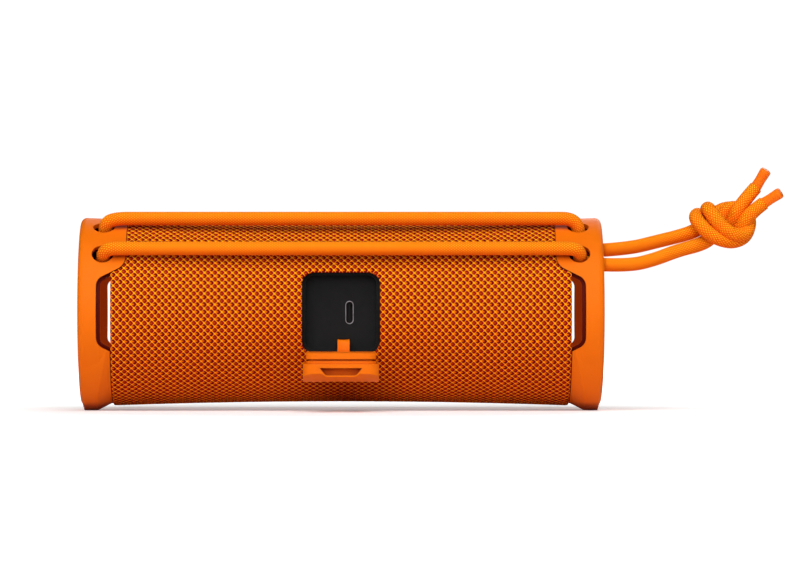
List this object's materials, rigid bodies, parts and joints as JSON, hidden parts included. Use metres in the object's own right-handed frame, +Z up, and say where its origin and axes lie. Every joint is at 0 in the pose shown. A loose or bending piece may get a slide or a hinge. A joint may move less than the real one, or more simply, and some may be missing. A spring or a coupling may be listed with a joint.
{
  "type": "portable wireless speaker",
  "caption": "Waisted cylindrical fabric-covered speaker with rubber end caps, an opening port cover, and a knotted cord strap along its top.",
  "frame": {"origin": "on the floor, under the middle of the body", "axes": "+X along the body, away from the strap's knot; +Y out of the back, where the port bay is; +Z up"},
  "size_m": [0.2739, 0.0989, 0.0945],
  "materials": {
    "cap_rubber": "soft-touch orange silicone rubber",
    "cover_rubber": "matt orange rubber",
    "fabric_weave": "woven mesh of orange and yellow strands over a dark red backing",
    "frame_plastic": "dark orange moulded plastic",
    "black_plastic": "matt black moulded plastic",
    "surround_rubber": "black butyl rubber",
    "radiator_weight": "black painted weight",
    "cone_paper": "black coated cone",
    "dome_silk": "black impregnated silk",
    "magnet_steel": "plated steel and ferrite",
    "basket_steel": "black painted steel",
    "coil_copper": "enamelled copper wire",
    "screw_steel": "zinc plated steel",
    "gasket_foam": "closed-cell foam",
    "board_laminate": "green solder mask on glass laminate",
    "chip_plastic": "moulded electronic packages",
    "cell_wrap": "blue shrink wrap over steel cells",
    "socket_metal": "nickel plated steel",
    "button_rubber": "orange rubber",
    "lens_plastic": "clear light guide",
    "cord_braid": "braided orange polyester cord",
    "cord_tip": "heat-fused smooth orange tip"
  },
  "bodies": {
    "housing": {"battery_cells": "cell_wrap", "battery_tray": "black_plastic", "board_components": "chip_plastic", "board_screws": "screw_steel", "button_board": "board_laminate", "button_switches": "chip_plastic", "control_strip": "button_rubber", "enclosure_front": "black_plastic", "enclosure_rear": "black_plastic", "enclosure_screws": "screw_steel", "end_cap_left": "cap_rubber", "end_cap_right": "cap_rubber", "end_frame_left": "frame_plastic", "end_frame_right": "frame_plastic", "end_frame_screws": "screw_steel", "fabric_sleeve": "fabric_weave", "front_grille": "black_plastic", "main_board": "board_laminate", "microphone": "chip_plastic", "port_bay": "black_plastic", "port_tether": "cover_rubber", "radiator_frame_left": "black_plastic", "radiator_frame_right": "black_plastic", "radiator_screws": "screw_steel", "radiator_surround_left": "surround_rubber", "radiator_surround_right": "surround_rubber", "seam_gasket": "gasket_foam", "status_lens": "lens_plastic", "strap_knot": "cord_braid", "strap_run": "cord_braid", "strap_tail_lower": "cord_braid", "strap_tail_upper": "cord_braid", "strap_tip_lower": "cord_tip", "strap_tip_upper": "cord_tip", "tweeter_housing": "black_plastic", "usb_board": "board_laminate", "usb_socket_shell": "socket_metal", "usb_tongue": "black_plastic", "woofer_basket": "basket_steel", "woofer_gasket": "gasket_foam", "woofer_magnet": "magnet_steel", "woofer_screws": "screw_steel", "woofer_spider": "dome_silk", "woofer_surround": "surround_rubber"},
    "port_cover": {"port_cover": "cover_rubber"},
    "radiator_left": {"radiator_plate_left": "radiator_weight"},
    "radiator_right": {"radiator_plate_right": "radiator_weight"},
    "woofer_cone_body": {"woofer_cone": "cone_paper", "woofer_voice_coil": "coil_copper"},
    "tweeter_dome_body": {"tweeter_dome": "dome_silk"},
    "button_power_body": {"button_power": "button_rubber"},
    "button_pairing_body": {"button_pairing": "button_rubber"},
    "button_volume_down_body": {"button_volume_down": "button_rubber"},
    "button_volume_up_body": {"button_volume_up": "button_rubber"},
    "button_play_body": {"button_play": "button_rubber"},
    "button_bass_body": {"button_bass": "button_rubber"}
  },
  "joints": [
    {"name": "port_cover_hinge", "type": "hinge", "parent": "housing", "child": "port_cover", "pos_m": [0, 0.02795, 0.01945], "axis": [1, 0, 0], "range_deg": [-35, 90.9], "deforming": ["port_tether"]},
    {"name": "button_power_press", "type": "slide", "parent": "housing", "child": "button_power_body", "axis": [0, 0.4226, -0.9063], "range_m": [0, 0.0003], "stiffness_N_per_m": 4000},
    {"name": "button_pairing_press", "type": "slide", "parent": "housing", "child": "button_pairing_body", "axis": [0, 0.4226, -0.9063], "range_m": [0, 0.0003], "stiffness_N_per_m": 4000},
    {"name": "button_volume_down_press", "type": "slide", "parent": "housing", "child": "button_volume_down_body", "axis": [0, 0.4226, -0.9063], "range_m": [0, 0.0003], "stiffness_N_per_m": 4000},
    {"name": "button_volume_up_press", "type": "slide", "parent": "housing", "child": "button_volume_up_body", "axis": [0, 0.4226, -0.9063], "range_m": [0, 0.0003], "stiffness_N_per_m": 4000},
    {"name": "button_play_press", "type": "slide", "parent": "housing", "child": "button_play_body", "axis": [0, 0.4226, -0.9063], "range_m": [0, 0.0003], "stiffness_N_per_m": 4000},
    {"name": "button_bass_press", "type": "slide", "parent": "housing", "child": "button_bass_body", "axis": [0, 0.4226, -0.9063], "range_m": [0, 0.0003], "stiffness_N_per_m": 4000},
    {"name": "radiator_left_travel", "type": "slide", "parent": "housing", "child": "radiator_left", "axis": [1, 0, 0], "range_m": [-0.002, 0.002], "stiffness_N_per_m": 600, "deforming": ["radiator_surround_left"]},
    {"name": "radiator_right_travel", "type": "slide", "parent": "housing", "child": "radiator_right", "axis": [1, 0, 0], "range_m": [-0.002, 0.002], "stiffness_N_per_m": 600, "deforming": ["radiator_surround_right"]},
    {"name": "woofer_travel", "type": "slide", "parent": "housing", "child": "woofer_cone_body", "axis": [0, 1, 0], "range_m": [-0.0025, 0.0025], "stiffness_N_per_m": 1500, "deforming": ["woofer_surround", "woofer_spider"]},
    {"name": "tweeter_travel", "type": "slide", "parent": "housing", "child": "tweeter_dome_body", "axis": [0, 1, 0], "range_m": [-0.0002, 0.0002], "stiffness_N_per_m": 3000}
  ]
}
